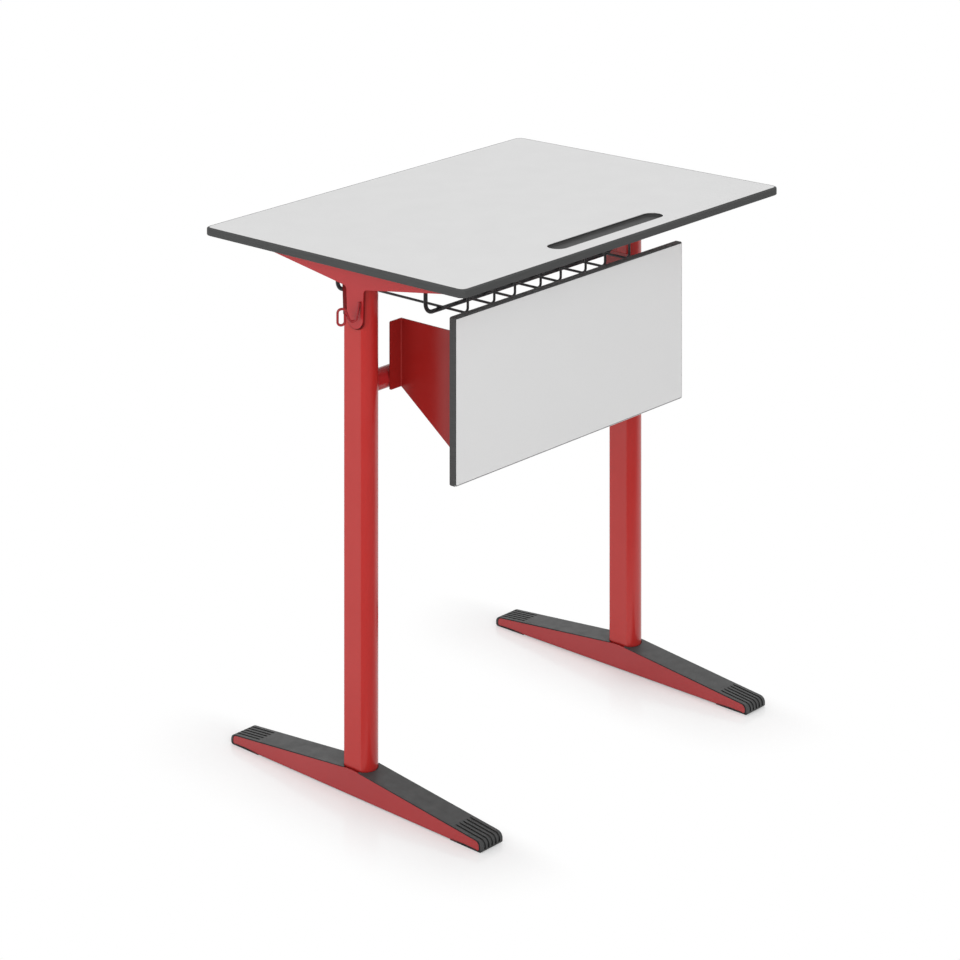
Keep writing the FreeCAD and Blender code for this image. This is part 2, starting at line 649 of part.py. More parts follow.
def build_foot_cap(name, side, end):
    """A cap over one half of a foot: sheet on a seat, plug, ribbed nose and floor pad."""
    body = new_body(name)
    tip, nose = "places.half_foot", "places.half_foot - sizes.cap_nose_thickness"
    start, under = "sizes.cap_start", "places.cap_under"
    pad_end = "places.half_foot - sizes.pad_length"
    sketch = sketch_on(body, name + "_side", "YZ_Plane")
    outline(sketch, [(along_foot(end, start), foot_top(start, "sizes.cap_rise")),
                     (along_foot(end, tip), foot_top(tip, "sizes.cap_rise"), "sizes.cap_nose_radius"),
                     (along_foot(end, tip), "0", "sizes.cap_heel_radius"),
                     (along_foot(end, pad_end), "0"),
                     (along_foot(end, pad_end), "sizes.pad_thickness"),
                     (along_foot(end, nose), "sizes.pad_thickness"),
                     (along_foot(end, nose), foot_top(nose, under), "places.cap_inner_radius"),
                     (along_foot(end, start), foot_top(start, under))])
    pad(body, name + "_shell", sketch, "sizes.foot_width - 2 * sizes.cap_inset", symmetric=True)

    sketch = sketch_on(body, name + "_seat_side", "YZ_Plane")
    outline(sketch, [(along_foot(end, start), foot_top(start, under)),
                     (along_foot(end, "places.seat_end"), foot_top("places.seat_end", under)),
                     (along_foot(end, "places.seat_end"), foot_top("places.seat_end")),
                     (along_foot(end, start), foot_top(start))])
    pad(body, name + "_seat", sketch, "sizes.foot_width - 2 * sizes.cap_seat_inset", symmetric=True)

    first, low = "places.half_saddle + sizes.fit_gap", "-sizes.cap_plug_depth"
    block, floor = nose + " - sizes.cap_block_length", "places.channel_floor + sizes.fit_gap"
    sketch = sketch_on(body, name + "_plug_side", "YZ_Plane")
    outline(sketch, [(along_foot(end, first), foot_top(first, under)),
                     (along_foot(end, nose), foot_top(nose, under), "places.cap_inner_radius"),
                     (along_foot(end, nose), floor),
                     (along_foot(end, block), floor),
                     (along_foot(end, block), foot_top(block, low)),
                     (along_foot(end, first), foot_top(first, low))])
    pad(body, name + "_plug", sketch, "places.channel_width - 2 * sizes.fit_gap", symmetric=True)

    sketch = sketch_on(body, name + "_column_section", "XY_Plane")
    oval(sketch, "(-sizes.cap_column_gap)")
    pocket(body, name + "_column_cut", sketch, "sizes.foot_peak_height + sizes.cut_over",
           backwards=True)

    first, depth, over = "places.groove_start", "sizes.groove_depth", "sizes.cut_over"
    floor = "places.groove_start + 2 * sizes.groove_depth"
    face = "places.half_foot - sizes.groove_depth"
    beyond = tip + " + sizes.cut_over"
    bottom = foot_top(floor, "sizes.cap_rise - sizes.groove_depth")
    sketch = sketch_on(body, name + "_groove_side", "YZ_Plane",
                       "-places.groove_pitch * (sizes.groove_count - 1) / 2")
    outline(sketch, [(along_foot(end, first), foot_top(first, "sizes.cap_rise")),
                     (along_foot(end, first), foot_top(first, over)),
                     (along_foot(end, beyond), foot_top(first, over)),
                     (along_foot(end, beyond), "sizes.cap_heel_radius"),
                     (along_foot(end, face), "sizes.cap_heel_radius"),
                     (along_foot(end, face), foot_top(face, "sizes.cap_rise - sizes.groove_depth"),
                      "sizes.cap_nose_radius - " + depth),
                     (along_foot(end, floor), bottom)])
    groove = pocket(body, name + "_groove", sketch, "sizes.groove_width", symmetric=True)
    one_groove = body.Shape.Volume
    pattern = body.newObject("PartDesign::LinearPattern", name + "_grooves")
    pattern.Originals = [groove]
    across = next(item for item in body.Origin.OriginFeatures if item.Role == "X_Axis")
    pattern.Direction = (across, [""])
    pattern.setExpression("Length", "places.groove_pitch * (sizes.groove_count - 1)")
    pattern.setExpression("Occurrences", "sizes.groove_count")
    body.Tip = pattern
    doc.recompute()
    if not body.Shape.Volume < one_groove:
        raise ValueError(name + " has one groove only")
    body.setExpression("Placement.Base.x", signed(side, "places.column_x"))
    return body


def build_foot_bolts():
    """A bolt in each foot, from under the saddle up into the column's base plate."""
    seat, column_y = number("places.saddle_bottom"), number("places.column_y")
    radius, head = number("sizes.bolt_diameter / 2"), number("sizes.bolt_head_diameter / 2")
    reach = number("sizes.saddle_thickness + sizes.bolt_reach")
    height = FreeCAD.Vector(0, 0, number("sizes.bolt_head_height"))
    bolts = []
    for side in SIDES.values():
        foot = FreeCAD.Vector(side * number("places.column_x"), column_y, seat)
        spoke = FreeCAD.Vector(head, 0, 0)
        turns = [FreeCAD.Rotation(FreeCAD.Vector(0, 0, 1), 360 * i / HEX_SIDES)
                 for i in range(HEX_SIDES + 1)]
        hexagon = Part.Face(Part.makePolygon([foot - height + turn.multVec(spoke) for turn in turns]))
        shank = Part.makeCylinder(radius, reach, foot)
        bolts.append(shank.fuse(hexagon.extrude(height)).removeSplitter())
    return solid_feature("foot_bolts", bolts)


def build_top_support(name, side):
    """Folded sheet: a wing under the board, tapering both ways, and a tongue on the column."""
    body = new_body(name)
    sketch = sketch_on(body, name + "_web_side", "YZ_Plane",
                       signed(side, "(places.column_face + places.web_face) / 2"))
    outline(sketch, [("places.wing_front", "places.underside"),
                     ("places.wing_front", "places.underside - sizes.wing_front_tip_height"),
                     ("places.tongue_y - sizes.tongue_root_width / 2", "places.wing_root_z",
                      "sizes.tongue_root_radius"),
                     ("places.tongue_y - sizes.tongue_end_width / 2", "places.tongue_centre_z"),
                     ("places.tongue_end_rear", "places.tongue_centre_z"),
                     ("places.tongue_root_rear", "places.wing_root_z", "sizes.tongue_root_radius"),
                     ("places.wing_rear", "places.underside - sizes.wing_rear_tip_height"),
                     ("places.wing_rear", "places.underside")],
            arcs={3: ("DistanceY", "places.tongue_centre_z")})
    pad(body, name + "_web", sketch, "sizes.sheet_thickness", symmetric=True)

    sketch = sketch_on(body, name + "_flange_plan", "XY_Plane", "places.column_top")
    inner, outer = signed(side, "places.flange_inner"), signed(side, "places.web_face")
    outline(sketch, [(outer, "places.wing_front"), (outer, "places.wing_rear"),
                     (inner, "places.wing_rear", "sizes.wing_corner_radius"),
                     (inner, "places.wing_front", "sizes.wing_corner_radius")])
    flange = pad(body, name + "_flange", sketch, "sizes.sheet_thickness")
    fold = {"X": signed(side, "places.web_face"), "Z": "places.underside"}
    fillet(body, name + "_fold", flange, "sizes.fold_radius", runs_along("Y", [fold]))

    sketch = sketch_on(body, name + "_lip_side", "YZ_Plane",
                       signed(side, "(places.column_face + sizes.lip_thickness / 2)"))
    outline(sketch, [("places.tongue_y", "places.wing_root_z"),
                     ("places.tongue_y", "places.tongue_centre_z"),
                     ("places.tongue_end_rear + sizes.lip_reach", "places.tongue_centre_z"),
                     ("places.tongue_root_rear + sizes.lip_reach", "places.wing_root_z")])
    pad(body, name + "_lip", sketch, "sizes.lip_thickness", symmetric=True)
    holes(body, name + "_holes", "XY_Plane", "places.underside", worktop_screw_centres(side),
          "places.screw_hole", "sizes.sheet_thickness")
    return body


def build_cross_beam():
    """A round tube between the columns' inner flats."""
    rods = []
    for name, diameter in (("beam_outside", "sizes.beam_diameter"),
                           ("beam_bore", "sizes.beam_diameter - 2 * sizes.beam_wall")):
        rod = doc.addObject("Part::Cylinder", name)
        rod.setExpression("Radius", "(%s) / 2" % diameter)
        rod.setExpression("Height", "places.beam_length")
        rods.append(rod)
    beam = doc.addObject("Part::Cut", "cross_beam")
    beam.Label = "cross_beam"
    beam.Base, beam.Tool = rods
    beam.Placement.Rotation = FreeCAD.Rotation(FreeCAD.Vector(0, 1, 0), 90)
    beam.setExpression("Placement.Base.x", "-places.beam_length / 2")
    beam.setExpression("Placement.Base.y", "places.column_y")
    beam.setExpression("Placement.Base.z", "places.beam_z")
    return beam


def build_panel_bracket(name, side):
    """Folded sheet: a flange on the beam, a sloping gusset and a flange behind the panel."""
    body = new_body(name)
    sketch = sketch_on(body, name + "_gusset_side", "YZ_Plane",
                       signed(side, "(places.bracket_x + places.bracket_inner) / 2"))
    outline(sketch, [("places.bracket_rear", "places.bracket_top"),
                     ("places.bracket_rear", "places.bracket_bottom"),
                     ("places.bracket_rear - sizes.bracket_sheet", "places.bracket_bottom"),
                     ("places.panel_back", "places.bracket_foot"),
                     ("places.panel_back", "places.bracket_top")])
    pad(body, name + "_gusset", sketch, "sizes.bracket_sheet", symmetric=True)

    inner = signed(side, "places.bracket_inner")
    free = signed(side, "places.bracket_inner + sizes.bracket_flange_width")
    sketch = sketch_on(body, name + "_beam_plan", "XZ_Plane", "-places.bracket_rear")
    outline(sketch, [(inner, "places.bracket_bottom"),
                     (free, "places.bracket_bottom", "sizes.bracket_corner_radius"),
                     (free, "places.bracket_top", "sizes.bracket_corner_radius"),
                     (inner, "places.bracket_top")])
    pad(body, name + "_beam_flange", sketch, "sizes.bracket_sheet")

    outer = signed(side, "places.bracket_x")
    free = signed(side, "places.bracket_x - sizes.bracket_flange_width")
    sketch = sketch_on(body, name + "_panel_plan", "XZ_Plane", "-places.panel_back")
    outline(sketch, [(outer, "places.bracket_foot"),
                     (free, "places.bracket_foot", "sizes.bracket_corner_radius"),
                     (free, "places.bracket_top", "sizes.bracket_corner_radius"),
                     (outer, "places.bracket_top")])
    pad(body, name + "_panel_flange", sketch, "sizes.bracket_sheet", backwards=True)
    holes(body, name + "_holes", "XZ_Plane", "-places.panel_back - sizes.bracket_sheet",
          panel_screw_centres(side), "places.screw_hole", "sizes.bracket_sheet", backwards=True)
    return body


# Bent wire


def bent_wire(points, bend_radius, diameter):
    """Round wire along straight runs joined by tangent arcs."""
    edges, start = [], points[0]
    for before, point, after in zip(points, points[1:], points[2:]):
        inwards, outwards = (point - before).normalize(), (after - point).normalize()
        half_turn = inwards.getAngle(outwards) / 2
        reach = bend_radius * math.tan(half_turn)
        arrives, leaves = point - inwards * reach, point + outwards * reach
        bisector = (outwards - inwards).normalize()
        middle = point + bisector * (bend_radius / math.cos(half_turn) - bend_radius)
        edges += [Part.makeLine(start, arrives), Part.Arc(arrives, middle, leaves).toShape()]
        start = leaves
    edges.append(Part.makeLine(start, points[-1]))
    section = Part.Wire(Part.makeCircle(diameter / 2, points[0], (points[1] - points[0]).normalize()))
    return Part.Wire(edges).makePipeShell([section], True, False)


def build_basket_frame(name, frame_y):
    """A thick wire that hangs from its two mounting tabs and carries the hairpins."""
    x, y, z = number("places.frame_x"), number(frame_y), number("places.frame_z")
    top = number("places.tab_bottom - sizes.weld_gap")
    points = [FreeCAD.Vector(-x, y, top), FreeCAD.Vector(-x, y, z), FreeCAD.Vector(x, y, z),
              FreeCAD.Vector(x, y, top)]
    wire = bent_wire(points, number("sizes.frame_bend_radius"), number("sizes.frame_wire"))
    return solid_feature(name, [wire])


def build_hairpin(name, place):
    """A thin wire that lies on both frames and turns up at the front as a closed loop."""
    middle = number(spread_out("-places.hairpin_spread / 2", "places.hairpin_spread",
                               SIZES["hairpin_count"])[place])
    half = number("sizes.hairpin_width / 2")
    rear, front = number("places.hairpin_end"), number("places.hairpin_front")
    low = number("places.hairpin_z")
    high = low + number("sizes.hairpin_rise")
    near = [FreeCAD.Vector(middle - half, rear, low), FreeCAD.Vector(middle - half, front, low),
            FreeCAD.Vector(middle - half, front, high)]
    far = [FreeCAD.Vector(2 * middle - point.x, point.y, point.z) for point in reversed(near)]
    wire = bent_wire(near + far, number("sizes.hairpin_bend_radius"), number("sizes.hairpin_wire"))
    return solid_feature(name, [wire])


def build_basket_tabs():
    """Plates under the board, one at the top of each frame leg."""
    bottom, thickness = number("places.tab_bottom"), number("sizes.tab_thickness")
    length, width = number("sizes.tab_length"), number("sizes.tab_width")
    tabs = []
    for side in SIDES.values():
        for frame_y in BASKET_FRAMES.values():
            ends = sorted(side * number(place) for place in ("places.tab_inner",
                                                            "places.tab_inner + sizes.tab_length"))
            corner = FreeCAD.Vector(ends[0], number(frame_y) - width / 2, bottom)
            plate = Part.makeBox(length, width, thickness, corner)
            upright = [edge for edge in plate.Edges if same(edge.BoundBox.ZLength, thickness)]
            plate = plate.makeFillet(number("sizes.tab_corner_radius"), upright)
            centre = FreeCAD.Vector(side * number("places.tab_screw_x"), number(frame_y), bottom)
            tabs.append(plate.cut(Part.makeCylinder(number("places.screw_hole") / 2, thickness, centre)))
    return solid_feature("basket_tabs", tabs)


def build_bag_hook(name, side):
    """One wire, fixed beside the tongue, that dips into a bowl and ends in a closed eye."""
    turn = math.radians(number("sizes.hook_turn_degrees"))
    foot = FreeCAD.Vector(side * number("places.hook_x"), number("places.hook_y"), number("places.hook_z"))
    outwards = FreeCAD.Vector(side * math.cos(turn), math.sin(turn), 0)
    upwards = FreeCAD.Vector(0, 0, 1)
    route = [("0", "sizes.hook_start_rise"), ("sizes.hook_bowl_start", "0"), ("places.hook_bowl_end", "0"),
             ("sizes.hook_eye_inner", "sizes.hook_eye_rise"),
             ("places.hook_eye_outer", "sizes.hook_eye_rise"),
             ("places.hook_eye_outer", "-sizes.hook_eye_drop"),
             ("sizes.hook_eye_inner", "-sizes.hook_eye_drop"),
             ("sizes.hook_eye_inner", "sizes.hook_tail_rise")]
    points = [foot + outwards * number(out) + upwards * number(rise) for out, rise in route]
    wire = bent_wire(points, number("places.hook_bend"), number("sizes.hook_wire"))
    return solid_feature(name, [wire])


# Screws


def screw(seat, direction, grip):
    """A bevelled pan head against the seat, and a shank along direction through grip and board."""
    radius, head = number("sizes.screw_diameter / 2"), number("sizes.screw_head_diameter / 2")
    height, bevel = number("sizes.screw_head_height"), number("sizes.screw_head_bevel")
    length, point = grip + number("sizes.screw_depth"), number("sizes.screw_point")
    line = [(0, -height), (head - bevel, -height), (head, bevel - height), (head, 0), (radius, 0),
            (radius, length - point), (0, length), (0, -height)]
    profile = Part.Face(Part.makePolygon([FreeCAD.Vector(across, 0, up) for across, up in line]))
    solid = profile.revolve(FreeCAD.Vector(), FreeCAD.Vector(0, 0, 1), 360)
    solid.Placement = FreeCAD.Placement(seat, FreeCAD.Rotation(FreeCAD.Vector(0, 0, 1), direction))
    return solid


def build_screws(name, seats, direction, grip):
    return solid_feature(name, [screw(seat, direction, grip) for seat in seats])


def build_all_screws():
    up, forwards = FreeCAD.Vector(0, 0, 1), FreeCAD.Vector(0, -1, 0)
    sheet, tab = number("sizes.sheet_thickness"), number("sizes.tab_thickness")
    flange_seats = [FreeCAD.Vector(number(x), number(y), number("places.column_top"))
                    for x, y in on_both_sides(worktop_screw_centres)]
    tab_seats = [FreeCAD.Vector(number(x), number(y), number("places.tab_bottom"))
                 for x, y in on_both_sides(basket_screw_centres)]
    bracket = number("sizes.bracket_sheet")
    panel_seats = [FreeCAD.Vector(number(x), number("places.panel_back") + bracket, number(z))
                   for x, z in on_both_sides(panel_screw_centres)]
    return [build_screws("worktop_screws", flange_seats, up, sheet),
            build_screws("basket_screws", tab_seats, up, tab),
            build_screws("panel_screws", panel_seats, forwards, bracket)]


def build_desk():
    parts = [build_worktop_core(),
             build_worktop_decor("worktop_top_decor", "places.worktop_core_top", True),
             build_worktop_decor("worktop_bottom_decor", "places.underside", False),
             build_panel_core(),
             build_panel_decor("modesty_panel_front_decor", "places.panel_core_front", False),
             build_panel_decor("modesty_panel_back_decor", "places.panel_back", True),
             build_cross_beam(),
             build_foot_bolts(),
             build_basket_tabs()]
    for word, side in SIDES.items():
        parts += [build_foot(word + "_foot", side),
                  build_column(word + "_column", side),
                  build_base_plate(word + "_base_plate", side),
                  build_top_support(word + "_top_support", side),
                  build_panel_bracket(word + "_panel_bracket", side),
                  build_bag_hook(word + "_bag_hook", side)]
        parts += [build_foot_cap("%s_foot_%s_cap" % (word, way), side, end) for way, end in ENDS.items()]
    parts += [build_basket_frame("basket_%s_frame" % way, frame_y)
              for way, frame_y in BASKET_FRAMES.items()]
    parts += [build_hairpin("basket_hairpin_%d" % (place + 1), place)
              for place in range(SIZES["hairpin_count"])]
    return parts + build_all_screws()


def write_parts(parts):
    """Check every object and every shape, then write one file for each part."""
    doc.recompute()
    for item in doc.Objects:
        if "Invalid" in item.State or "Error" in item.State:
            raise ValueError("%s failed: %s" % (item.Label, item.State))
    for part in parts:
        if part.Shape.isNull() or not part.Shape.isValid() or not part.Shape.Solids:
            raise ValueError(part.Label + " has no valid shape")
    os.makedirs("parts", exist_ok=True)
    for part in parts:
        part.Shape.exportStep("parts/%s.step" % part.Label)
        box = part.Shape.BoundBox
        print("%-28s %d solid(s) %9.0f mm3  X %7.1f %7.1f  Y %7.1f %7.1f  Z %6.1f %6.1f" % (
            part.Label, len(part.Shape.Solids), part.Shape.Volume,
            box.XMin, box.XMax, box.YMin, box.YMax, box.ZMin, box.ZMax))


write_parts(build_desk())
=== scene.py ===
import json
import math
import random

import bmesh
import bpy
from mathutils import Matrix, Vector


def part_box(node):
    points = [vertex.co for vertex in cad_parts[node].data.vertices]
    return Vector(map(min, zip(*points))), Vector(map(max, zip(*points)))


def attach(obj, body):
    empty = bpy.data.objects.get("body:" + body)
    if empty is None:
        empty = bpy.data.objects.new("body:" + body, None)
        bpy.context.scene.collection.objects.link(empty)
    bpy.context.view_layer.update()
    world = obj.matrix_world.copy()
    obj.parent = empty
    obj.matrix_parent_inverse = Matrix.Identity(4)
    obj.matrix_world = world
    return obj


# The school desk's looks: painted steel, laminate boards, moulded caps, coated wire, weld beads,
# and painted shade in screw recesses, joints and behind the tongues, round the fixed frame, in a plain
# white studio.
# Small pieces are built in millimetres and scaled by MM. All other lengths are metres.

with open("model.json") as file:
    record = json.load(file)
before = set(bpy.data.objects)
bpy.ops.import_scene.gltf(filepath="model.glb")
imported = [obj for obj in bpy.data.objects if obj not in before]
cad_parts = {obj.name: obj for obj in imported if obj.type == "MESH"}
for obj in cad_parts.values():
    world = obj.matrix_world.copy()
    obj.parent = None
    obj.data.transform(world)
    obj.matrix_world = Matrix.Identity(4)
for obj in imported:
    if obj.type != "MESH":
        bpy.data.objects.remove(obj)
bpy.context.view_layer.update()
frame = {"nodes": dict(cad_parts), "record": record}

MM = 0.001
SIDES = {"left": -1, "right": 1}
ACROSS, BACK, UP, DOWN = Vector((1, 0, 0)), Vector((0, 1, 0)), Vector((0, 0, 1)), Vector((0, 0, -1))

# The photograph's view, as it was fitted to the desk's edges
IMAGE_SIZE = 960
CAMERA_PLACE = Vector((-3.25874, -2.82315, 1.88706))
CAMERA_YAW = 0.69391
FOCAL_PIXELS = 2890.64
HORIZON_ROW = -558.64
HORIZON_SLOPE = -0.05080
CENTRE_COLUMN = 17.90
SENSOR_WIDTH = 36
CLIP_END = 100

# Colours, as linear light
RED = (0.395, 0.020, 0.022, 1)
WARM_RED = (0.375, 0.016, 0.017, 1)
# Lit copies of the red coat: painted light makes the columns and supports lighter
LIT_COLUMN_RED = (0.440, 0.023, 0.020, 1)
LIT_COLUMN_WARM_RED = (0.425, 0.019, 0.016, 1)
LIT_SUPPORT_RED = (0.420, 0.021, 0.024, 1)
LIT_SUPPORT_WARM_RED = (0.405, 0.018, 0.020, 1)
# A shaded copy of the red coat: painted shade makes the feet darker
SHADED_FOOT_RED = (0.352, 0.025, 0.027, 1)
SHADED_FOOT_WARM_RED = (0.337, 0.022, 0.024, 1)
SHADED_RED = (0.280, 0.013, 0.011, 1)
SHADED_WARM_RED = (0.265, 0.011, 0.009, 1)
# Painted highlight along the brackets' folds and joints
RED_HIGHLIGHT = (0.52, 0.075, 0.068, 1)
# Painted shade: dark reds for joints, creases and the strip behind each tongue
RED_IN_DEEP_SHADE = (0.13, 0.003, 0.004, 1)
RED_IN_SHADE = (0.185, 0.004, 0.004, 1)
# A darker, shaded copy of the red coat for the hooks: painted shade
SHADED_WIRE_RED = (0.25, 0.012, 0.016, 1)
SHADED_WIRE_WARM_RED = (0.32, 0.018, 0.022, 1)
LAMINATE = (0.69, 0.69, 0.69, 1)
LAMINATE_SPECK = (0.65, 0.65, 0.65, 1)
CORE = (0.050, 0.051, 0.051, 1)
CORE_LAYER = (0.066, 0.067, 0.067, 1)
CORE_IN_SHADE = (0.036, 0.036, 0.036, 1)
MOULDED = (0.045, 0.046, 0.046, 1)
MOULDED_DUSTY = (0.054, 0.055, 0.055, 1)
BLACK = (0.008, 0.008, 0.008, 1)
COATED = (0.022, 0.022, 0.024, 1)
COATED_WORN = (0.036, 0.036, 0.038, 1)
ZINC = (0.60, 0.61, 0.63, 1)
ZINC_DULL = (0.42, 0.42, 0.41, 1)
# Painted shade inside the screws' drive recesses
DRIVE_SHADE = (0.030, 0.030, 0.032, 1)
DRIVE_SHADE_PALE = (0.060, 0.060, 0.062, 1)
FLOOR_WHITE = (0.95, 0.95, 0.95, 1)
WHITE = (1, 1, 1, 1)


# Places of the fixed nodes, in millimetres; left and right mirror each other


def box(node):
    """The lowest and the highest corner of a fixed node."""
    return [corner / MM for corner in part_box(node)]


def middle(node):
    """The point in the middle of a fixed node's box."""
    low, high = box(node)
    return (low + high) / 2


def half_size(node):
    """How far a fixed node's box reaches from its middle."""
    low, high = box(node)
    return (high - low) / 2


UNDERSIDE = box("worktop_bottom_decor")[0].z
SUPPORT_FACE = box("right_top_support")[1].x
COLUMN_X, COLUMN_Y = middle("right_column").xy
COLUMN_HALF = half_size("right_column").x
COLUMN_TOP = box("right_column")[1].z
COLUMN_DEPTH, COLUMN_FLAT = 49, 32
BEAM_Z, BEAM_RADIUS = middle("cross_beam").z, half_size("cross_beam").z
FOOT_HALF = COLUMN_Y - box("right_foot_front_cap")[0].y
FOOT_PEAK, FOOT_TIP = 37.5, 13.3

FRAME_RADIUS, HAIRPIN_RADIUS = 3, 1.8
FRAME_X = box("basket_front_frame")[1].x - FRAME_RADIUS
FRAME_YS = (middle("basket_front_frame").y, middle("basket_rear_frame").y)
FRAME_TOP = box("basket_front_frame")[0].z + 2 * FRAME_RADIUS
HAIRPIN_XS = [middle("basket_hairpin_%d" % number).x for number in (1, 2, 3, 4)]
HAIRPIN_HALF = half_size("basket_hairpin_1").x - HAIRPIN_RADIUS
TAB_BOTTOM = box("basket_tabs")[0].z

# A hook starts on the support's face, in front of the column's middle, and turns outwards
HOOK_RADIUS, HOOK_GAP, HOOK_FORWARD, HOOK_DROP = 1.75, 0.1, 17, 79.3
HOOK_X = SUPPORT_FACE + HOOK_GAP + HOOK_RADIUS
HOOK_Y = COLUMN_Y - HOOK_FORWARD
HOOK_BOWL_Z = UNDERSIDE - HOOK_DROP
HOOK_TURN = math.radians(30)

# A support's tongue hangs down beside the column, a little in front of its middle
TONGUE_FORWARD, TONGUE_DROP = 6.8, 93
TONGUE_Y = COLUMN_Y - TONGUE_FORWARD
TONGUE_BOTTOM = UNDERSIDE - TONGUE_DROP


# Materials


class Nodes:
    """A node tree, and short ways to add nodes to it."""

    def __init__(self, tree):
        self.tree = tree

    def fill(self, node, inputs):
        """Link or set a node's inputs, which are given by name or number."""
        for name, value in inputs.items():
            if isinstance(value, bpy.types.NodeSocket):
                self.tree.links.new(value, node.inputs[name])
            else:
                node.inputs[name].default_value = value

    def add(self, kind, inputs=None, **settings):
        """A new node with these settings and inputs."""
        node = self.tree.nodes.new(kind)
        for name, value in settings.items():
            setattr(node, name, value)
        self.fill(node, inputs or {})
        return node

    def calculate(self, operation, *values):
        """The output of one step of arithmetic."""
        node = self.add("ShaderNodeMath", dict(enumerate(values)), operation=operation)
        return node.outputs["Value"]

    def length(self, first, second):
        """The length of the diagonal over two sides."""
        squares = [self.calculate("MULTIPLY", side, side) for side in (first, second)]
        return self.calculate("SQRT", self.calculate("ADD", *squares))

    def spread(self, value, low, high, to_low=0.0, to_high=1.0, **settings):
        """Map value from low..high to to_low..to_high, and hold it there."""
        node = self.add("ShaderNodeMapRange", {"Value": value, "From Min": low, "From Max": high,
                                               "To Min": to_low, "To Max": to_high}, **settings)
        return node.outputs["Result"]

    def axes(self, vector):
        """The outputs X, Y and Z of a vector."""
        return self.add("ShaderNodeSeparateXYZ", {"Vector": vector}).outputs

    def white_to_the_eye(self):
        """1 for rays that show the background: camera, glossy and transmission rays."""
        path = self.add("ShaderNodeLightPath")
        seen = path.outputs["Is Camera Ray"]
        for name in ("Is Glossy Ray", "Is Transmission Ray"):
            seen = self.calculate("MAXIMUM", seen, path.outputs[name])
        return seen


class Surface(Nodes):
    """A material with one Principled shader, whose patterns lie in the frame's own metres."""

    # Most of a noise lies between these two
    NOISE_LOW, NOISE_HIGH = 0.3, 0.7

    def __init__(self, name):
        self.material = bpy.data.materials.new(name)
        self.material.use_nodes = True
        super().__init__(self.material.node_tree)
        self.shader = self.tree.nodes["Principled BSDF"]
        self.place = self.add("ShaderNodeTexCoord").outputs["Object"]

    def noise(self, scale, detail=3.0, stretch=(1, 1, 1)):
        """Noise from 0 to 1, with about scale cells in a metre, squeezed along the axes by stretch."""
        mapping = self.add("ShaderNodeMapping", {"Scale": stretch, "Vector": self.place})
        noise = self.add("ShaderNodeTexNoise", {"Scale": scale, "Detail": detail,
                                                "Vector": mapping.outputs["Vector"]})
        return noise.outputs["Fac"]

    def mix(self, factor, first, second):
        """First where factor is 0 and second where it is 1, each a colour or a node's output."""
        mix = self.add("ShaderNodeMix", {"Factor": factor, "A": first, "B": second}, data_type="RGBA")
        return mix.outputs["Result"]

    def patches(self, first, second, scale, low=0.0, high=1.0, detail=3.0):
        """Patches of two colours, with as much of the second as low and high let through."""
        return self.mix(self.spread(self.noise(scale, detail), low, high), first, second)

    def roughness(self, low, high, scale, detail=3.0):
        """A roughness that varies from low to high."""
        return self.spread(self.noise(scale, detail), self.NOISE_LOW, self.NOISE_HIGH, low, high)

    def bump(self, height, depth, strength):
        """Relief of this depth where height goes from 0 to 1."""
        bump = self.add("ShaderNodeBump", {"Distance": depth, "Strength": strength, "Height": height})
        self.fill(self.shader, {"Normal": bump.outputs["Normal"]})

    def grain(self, scale, depth, strength, detail=2.0):
        """Fine relief."""
        self.bump(self.noise(scale, detail), depth, strength)

    def edges(self, radius, flat=0.98, sharp=0.80):
        """Near 1 where an edge lies closer than radius, 0 on open faces."""
        bevel = self.add("ShaderNodeBevel", {"Radius": radius}, samples=4)
        normals = {0: bevel.outputs["Normal"], 1: self.add("ShaderNodeNewGeometry").outputs["Normal"]}
        dot = self.add("ShaderNodeVectorMath", normals, operation="DOT_PRODUCT")
        return self.spread(dot.outputs["Value"], flat, sharp)

    def occlusion(self, reach, samples=6, open_share=0.78, shut_share=0.30):
        """Ambient occlusion for painted shade: near 1 deep in a joint or groove narrower than reach, 0 on
        open faces.
        """
        shade = self.add("ShaderNodeAmbientOcclusion", {"Distance": reach}, samples=samples)
        return self.spread(shade.outputs["AO"], open_share, shut_share)

    def rim(self, half_width, half_depth, corner, band, blur=0.0001):
        """1 within band of the outline of a board with round corners, 0 further in."""
        place = self.axes(self.place)
        beyond = [self.calculate("SUBTRACT", self.calculate("ABSOLUTE", place[axis]), half - corner)
                  for axis, half in (("X", half_width), ("Y", half_depth))]
        outside = self.length(*[self.calculate("MAXIMUM", value, 0.0) for value in beyond])
        inside = self.calculate("MINIMUM", self.calculate("MAXIMUM", *beyond), 0.0)
        reach = self.calculate("ADD", outside, inside)
        return self.spread(reach, corner - band - blur, corner - band + blur)

    def finish(self, colour, roughness, metallic=0.0, specular=0.5):
        """Set the shader, and return the material."""
        self.fill(self.shader, {"Base Color": colour, "Roughness": roughness, "Metallic": metallic,
                                "Specular IOR Level": specular})
        return self.material


# The fine orange peel of the red coat
PEEL = {"depth": 0.00002, "strength": 0.10, "detail": 1.0}
PEEL_SCALE, WIRE_PEEL_SCALE = 420.0, 600.0


def powder_coat(name, first=RED, second=WARM_RED, painted_light_in_joints=RED_IN_DEEP_SHADE, reach=0.006):
    """Glossy red powder coat: a fine orange peel, and painted shade in joints that reach spans, or a
    painted highlight there where a paler red is given.
    """
    surface = Surface(name)
    body = surface.patches(first, second, scale=9.0, low=0.35, high=0.65)
    colour = surface.mix(surface.occlusion(reach), body, painted_light_in_joints)
    surface.grain(PEEL_SCALE, **PEEL)
    return surface.finish(colour, surface.roughness(0.20, 0.25, scale=24.0))


